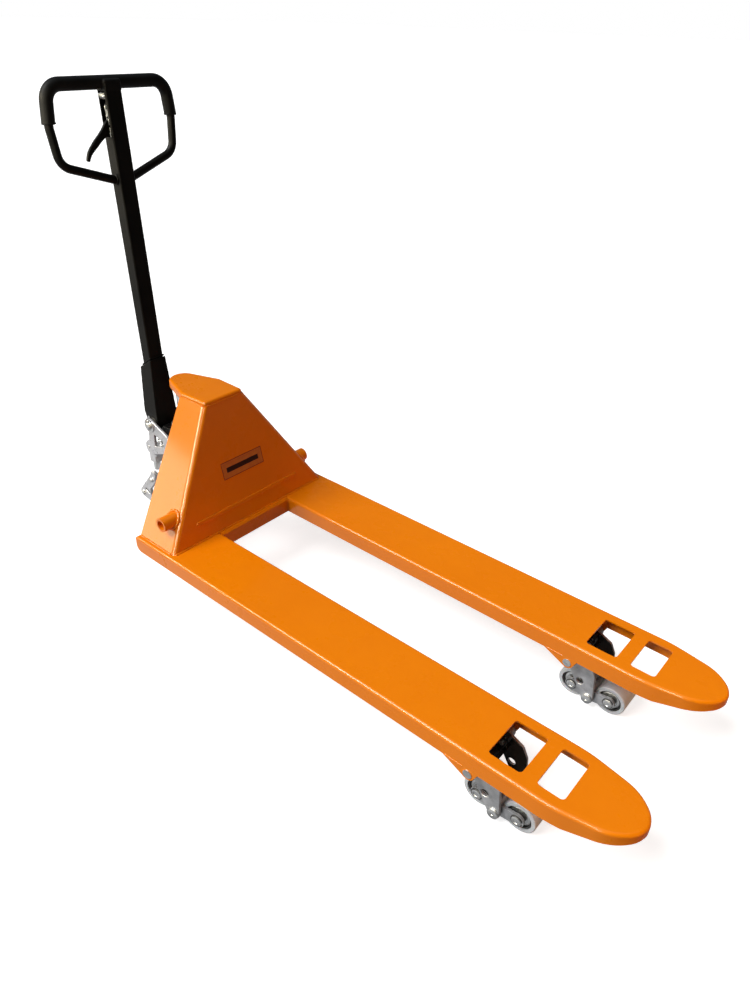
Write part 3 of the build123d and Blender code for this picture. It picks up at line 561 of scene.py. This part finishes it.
def make_handle_welds():
    """Beads where the loop meets the tube and where the tube meets the yoke."""
    form = bmesh.new()
    for sign in SIDES.values():
        ring = []
        for index in range(36):
            angle = 2 * math.pi * index / 36
            ring.append(on_handle(10.6 * math.cos(angle), sign * 23.0,
                                  998.4 + 11.6 * math.sin(angle)))
        weld(form, ring, 2.2, closed=True)
    collar = [on_handle(x, y, z) for x, y, z in
              ((18.6, 22.6, 541.5), (18.6, -22.6, 541.5), (-18.6, -22.6, 518.0), (-18.6, 22.6, 518.0))]
    weld(form, collar, 2.0, closed=True)
    keep("handle_welds", form, "black_paint", "handle", 180.0)


make_tower_welds()
make_handle_welds()


# ---------------------------------------------------------------- label plate on the tower front

def make_label():
    """A blank framed plate: pale field, thin dark frame and a plain dark bar."""
    lean = math.atan(83 / 327)

    def panel(form, y0, y1, z0, z1, lift, thick):
        corners = []
        for depth in (lift, lift + thick):
            for y, z in ((y0, z0), (y1, z0), (y1, z1), (y0, z1)):
                x = tower_front(z) + depth * math.cos(lean)
                corners.append(form.verts.new(at(x, y, z + depth * math.sin(lean))))
        for face in ((0, 1, 2, 3), (4, 5, 6, 7), (0, 1, 5, 4), (1, 2, 6, 5), (2, 3, 7, 6),
                     (3, 0, 4, 7)):
            form.faces.new([corners[index] for index in face])

    field = bmesh.new()
    panel(field, -63, 77, 305.5, 350.5, -0.2, 0.5)
    keep("label_plate", field, "label_field", "chassis")
    frame_lines = bmesh.new()
    for limits in ((-63, 77, 349, 350.5), (-63, 77, 305.5, 307), (-63, -61.6, 307, 349),
                   (75.6, 77, 307, 349)):
        panel(frame_lines, *limits, 0.2, 0.25)
    keep("label_frame", frame_lines, "label_line", "chassis")
    bar = bmesh.new()
    panel(bar, -48, 62, 321, 334, 0.2, 0.2)
    keep("label_bar", bar, "label_bar", "chassis")


make_label()


# ---------------------------------------------------------------- handle details

def make_chain():
    """Links that hang inside the tube from the release lever down to the pivot."""
    form = bmesh.new()
    pitch, half, wide, wire = 9.4, 3.6, 2.7, 1.05
    top, bottom = 1158.0, 404.0
    count = int((top - bottom) / pitch)
    for index in range(count):
        z = top - (index + 0.5) * pitch
        drawn = min(1.0, max(0.0, (z - 1075) / 30))
        x, y = 8 - 5 * drawn, -12 - 6 * drawn
        path = []
        for step in range(16):
            angle = 2 * math.pi * step / 16
            shift = half if math.sin(angle) > 0 else -half
            swing = wide * math.cos(angle)
            lift = wide * math.sin(angle) + shift
            if index % 2:
                path.append(on_handle(x + swing, y, z + lift))
            else:
                path.append(on_handle(x, y + swing, z + lift))
        sweep_rings(form, path, [wire * MM] * len(path), 6, closed=True)
    chain = keep("pull_chain_links", form, "plated_steel", "pull_chain", 180.0)
    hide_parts("pull_chain")


def make_detent():
    """The spring and bright ball that hold the lever, seen at the top of the slot."""
    form = bmesh.new()
    turns, steps = 4.5, 14
    path = []
    for index in range(int(turns * steps)):
        angle = 2 * math.pi * index / steps
        shift = -14.0 + 20.0 * index / (turns * steps)
        path.append(on_handle(shift, -14.0 + 7.4 * math.cos(angle), 1180 + 7.4 * math.sin(angle)))
    sweep_rings(form, path, [1.0 * MM] * len(path), 6)
    ball = [(-6 * math.cos(math.pi * step / 12), 6 * math.sin(math.pi * step / 12))
            for step in range(1, 12)]
    turned(form, on_handle(1, -16, 1179), (0, -1, 0), ball, 24)
    keep("detent_spring", form, "plated_steel", "handle", 180.0)


def make_cover_lips():
    """The rolled end of the moulded cover on each arm of the loop."""
    form = bmesh.new()
    for sign, arm in ((1, 162.6), (-1, 167.2)):
        ring = []
        for index in range(40):
            angle = 2 * math.pi * index / 40
            ring.append(on_handle(LIP_RADIUS * math.cos(angle),
                                  sign * (arm + LIP_RADIUS * math.sin(angle)), LIP_HEIGHT))
        sweep_rings(form, ring, [1.9 * MM] * 40, 8, closed=True)
    keep("grip_cover_lips", form, "black_grip", "handle", 180.0)


def make_pivot_details():
    """Split pins through the pivot's ends, and turned ends on the pin."""
    form = bmesh.new()
    for sign in SIDES.values():
        centre = at(PIVOT[0], sign * 56.0, PIVOT[1])
        end = ((-5, 9.2), (1.0, 9.2), (2.2, 7.6), (2.2, 3.0), (1.4, 1.4))
        turned(form, centre, (0, sign, 0), end, 32)
        x, y = PIVOT[0] - 1, sign * 53.5
        eye = circle_points(at(x, y, PIVOT[1] + 18.5), (1, 0, 0), 4.2, 18, 30, 300)
        legs = [at(x, y, PIVOT[1] + 12), at(x, y, PIVOT[1] - 15)]
        sweep_rings(form, eye, [1.5 * MM] * len(eye), 8)
        sweep_rings(form, legs, [1.7 * MM] * 2, 8)
    keep("pivot_split_pins", form, "plated_steel", "pump", 40.0)


make_chain()
make_detent()
make_cover_lips()
make_pivot_details()


# ---------------------------------------------------------------- roller and wheel details

def make_roller_details():
    """Bearing shields, axle heads and snap rings of the load rollers."""
    for side, sign in SIDES.items():
        low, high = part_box(side + "_bogie_pin")
        bogie = (low + high) / 2
        middle_y = sign * ROLLER_CENTRE
        heads = bmesh.new()
        rims = bmesh.new()
        for place in ("rear", "front"):
            low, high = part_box(side + "_" + place + "_roller_tyre")
            centre = (low + high) / 2
            body = side + "_" + place + "_roller"
            shields = bmesh.new()
            for face in SIDES.values():
                axis = (0, face, 0)
                end = Vector((centre.x, (middle_y + face * 44.0) * MM, centre.z))
                head = ((-1.4, 10.4), (0.6, 10.4), (1.2, 9.6), (1.2, 6.2), (0.5, 5.6), (0.5, 3.4),
                        (-0.6, 2.6))
                turned(heads, end, axis, head, 36)
                groove = circle_points(end + Vector((0, face * -0.9 * MM, 0)), axis, 12.6, 30, 20, 320)
                sweep_rings(rims, groove, [0.9 * MM] * len(groove), 6)
                seat = Vector((centre.x, (middle_y + face * 25.2) * MM, centre.z))
                shield = ((0, 22.6), (3.0, 22.6), (3.6, 21.8), (3.6, 17.0), (2.6, 16.2), (2.6, 13.4))
                turned(shields, seat, axis, shield, 44)
            keep(body + "_shields", shields, "plated_steel", body, 40.0)
        for face in SIDES.values():
            end = Vector((bogie.x, (middle_y + face * 57.0) * MM, bogie.z))
            head = ((-1.6, 11.6), (0.4, 11.6), (1.1, 10.6), (1.1, 3.0), (0.2, 2.2))
            turned(heads, end, (0, face, 0), head, 36)
        keep(side + "_axle_heads", heads, "plated_steel", side + "_bogie", 40.0)
        keep(side + "_snap_rings", rims, "dark_hub", side + "_bogie", 60.0)


def make_wheel_details():
    """Ribs, bearing shields and axle ends of the steering wheels."""
    for side, sign in SIDES.items():
        low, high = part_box(side + "_wheel_tyre")
        centre = (low + high) / 2
        ribs = bmesh.new()
        shields = bmesh.new()
        for face in SIDES.values():
            plane = centre.y + face * 13.0 * MM
            for index in range(6):
                angle = math.radians(30 + 60 * index)
                path = []
                for reach in (25.0, 34.0, 54.0, 63.5):
                    path.append(Vector((centre.x + reach * MM * math.cos(angle), plane,
                                        centre.z + reach * MM * math.sin(angle))))
                sweep_rings(ribs, path, [6.0 * MM, 4.6 * MM, 4.6 * MM, 6.4 * MM], 10)
            seat = Vector((centre.x, centre.y + face * 22.6 * MM, centre.z))
            shield = ((0, 22.0), (1.0, 22.0), (1.6, 21.0), (1.6, 17.0), (0.9, 16.4))
            turned(shields, seat, (0, face, 0), shield, 44)
        keep(side + "_wheel_ribs", ribs, "wheel_hub", side + "_wheel", 50.0)
        keep(side + "_wheel_shields", shields, "plated_steel", side + "_wheel", 40.0)


def make_pump_details():
    """Screw heads on the pump body, and the pin end and screw of the valve lever."""
    form = bmesh.new()
    for x, z in ((-404, 268), (-330, 300)):
        for sign in SIDES.values():
            centre = at(x, sign * 48.0, z)
            screw_head = ((-1, 4.2), (1.2, 4.2), (1.8, 3.4), (1.8, 1.6), (1.0, 1.2))
            turned(form, centre, (0, sign, 0), screw_head, 20)
    screw = bmesh.new()
    turned(screw, at(-450, -60.0, 98), (0, -1, 0), ((-1, 8.6), (0.8, 8.6)), 28)
    turned(screw, at(-450, -60.0, 98), (0, -1, 0), ((0.5, 7.0), (3.2, 6.8), (3.8, 5.8)), 6)
    keep("valve_lever_screw", screw, "plated_steel", "valve_lever", 30.0)
    turned(form, at(-396, -66.0, 163), (0, -1, 0), ((-1, 5.6), (0.6, 5.6), (1.4, 4.4)), 24)
    keep("pump_fasteners", form, "plated_steel", "pump", 40.0)


make_roller_details()
make_wheel_details()
make_pump_details()


# ---------------------------------------------------------------- stage, light and camera

def make_floor():
    """A pale floor that glows a little, so that shadows on it stay light."""
    f = Finish("pale_floor", Roughness=0.8, Specular_IOR_Level=0.1, Emission_Strength=0.72)
    f.shader.inputs["Emission Color"].default_value = (1.0, 1.0, 1.0, 1.0)
    colour = f.blend(f.noise(2.5, 4.0, 0.5), (0.60, 0.60, 0.60), (0.64, 0.64, 0.64))
    f.paint(colour, None, f.bump(f.noise(160.0, 3.0), 0.03, 0.001))
    form = bmesh.new()
    bmesh.ops.create_grid(form, x_segments=8, y_segments=8, size=90.0)
    mesh = bpy.data.meshes.new("floor")
    form.to_mesh(mesh)
    form.free()
    floor = bpy.data.objects.new("floor", mesh)
    mesh.materials.append(f.material)
    floor.visible_diffuse = False
    floor.visible_glossy = False
    scene.collection.objects.link(floor)


def look_rotation(direction, roll=0.0):
    """Turns a lamp or camera to face along a direction."""
    return direction.to_track_quat("-Z", "Y").to_matrix().to_4x4() @ Matrix.Rotation(roll, 4, "Z")


def make_light(name, place, target, size, power, colour=(1, 1, 1), mirrored=True, lights_matt=True):
    """A softbox, which may be left out of reflections or light reflections only."""
    data = bpy.data.lights.new(name, "AREA")
    data.shape = "RECTANGLE"
    data.size, data.size_y = size
    data.energy = power
    data.color = colour
    lamp = bpy.data.objects.new(name, data)
    lamp.matrix_world = Matrix.Translation(place) @ look_rotation(Vector(target) - Vector(place))
    lamp.visible_glossy = mirrored
    lamp.visible_diffuse = lights_matt
    scene.collection.objects.link(lamp)


def make_sun(name, towards, angle, strength):
    """A soft key light from far away; the angle is its width in degrees."""
    data = bpy.data.lights.new(name, "SUN")
    data.angle = math.radians(angle)
    data.energy = strength
    lamp = bpy.data.objects.new(name, data)
    lamp.matrix_world = look_rotation(-Vector(towards))
    scene.collection.objects.link(lamp)


def make_camera():
    """The camera: 39.2 degrees round from the truck's right side, 32.6 degrees above it."""
    azimuth, elevation, roll = math.radians(39.204), math.radians(32.585), math.radians(1.769)
    direction = Vector((-math.sin(azimuth) * math.cos(elevation),
                        math.cos(azimuth) * math.cos(elevation), -math.sin(elevation)))
    data = bpy.data.cameras.new("camera")
    data.sensor_width = 36.0
    data.lens = 27.354
    data.clip_end = 200.0
    camera = bpy.data.objects.new("camera", data)
    place = at(1349.75, -1140.17, 1356.19)
    camera.matrix_world = Matrix.Translation(place) @ look_rotation(direction, roll)
    scene.collection.objects.link(camera)
    scene.camera = camera


def make_world():
    """A studio that is white at the horizon behind the truck, dim above it and dark in front."""
    world = bpy.data.worlds.new("studio")
    world.use_nodes = True
    tree = world.node_tree
    background = tree.nodes["Background"]
    split = tree.nodes.new("ShaderNodeSeparateXYZ")
    tree.links.new(tree.nodes.new("ShaderNodeTexCoord").outputs["Generated"], split.inputs["Vector"])

    def fade(axis, low, high, shades):
        rise = tree.nodes.new("ShaderNodeMapRange")
        rise.inputs["From Min"].default_value = low
        rise.inputs["From Max"].default_value = high
        tree.links.new(split.outputs[axis], rise.inputs["Value"])
        ramp = tree.nodes.new("ShaderNodeValToRGB")
        tree.links.new(rise.outputs["Result"], ramp.inputs["Fac"])
        while len(ramp.color_ramp.elements) < len(shades):
            ramp.color_ramp.elements.new(0.5)
        for element, (position, grey) in zip(ramp.color_ramp.elements, shades):
            element.position = position
            element.color = (grey, grey, grey, 1.0)
        return ramp.outputs["Color"]

    height = fade("Z", -1.0, 1.0, ((0.0, 0.30), (0.14, 0.32), (0.20, 0.75), (0.29, 0.75), (0.34, 0.24),
                                   (0.46, 0.24), (0.49, 1.0), (0.53, 1.0), (0.57, 0.08), (0.90, 0.08),
                                   (1.0, 0.85)))
    front = fade("X", -1.0, 1.0, ((0.0, 1.0), (0.5, 1.0), (0.65, 0.55), (0.8, 0.18), (1.0, 0.14)))
    product = tree.nodes.new("ShaderNodeMix")
    product.data_type = "RGBA"
    product.blend_type = "MULTIPLY"
    product.inputs[0].default_value = 1.0
    tree.links.new(height, product.inputs[6])
    tree.links.new(front, product.inputs[7])
    tree.links.new(product.outputs[2], background.inputs["Color"])
    background.inputs["Strength"].default_value = 1.0
    scene.world = world


make_floor()
make_world()
make_sun("soft_key", (-0.32, -0.55, 0.77), 34.0, 3.25)
make_light("left_softbox", at(-2650, -2650, 880), at(-90, -170, 330), (1.3, 0.8), 25.0,
           (1.0, 0.88, 0.62))
make_light("edge_strip", at(1600, -2500, 1900), at(-60, -170, 330), (0.34, 2.2), 52.0,
           (1.0, 0.88, 0.62), lights_matt=False)
make_light("fork_strip", at(-935, -3080, 2170), at(500, -280, 184), (4.2, 0.6), 250.0,
           (1.0, 0.90, 0.66), lights_matt=False)
make_light("front_fill", at(3400, 500, 500), at(-60, 0, 330), (1.6, 0.8), 25.0,
           (1.0, 0.50, 0.22), mirrored=False)
make_camera()
scene.view_settings.view_transform = "Standard"
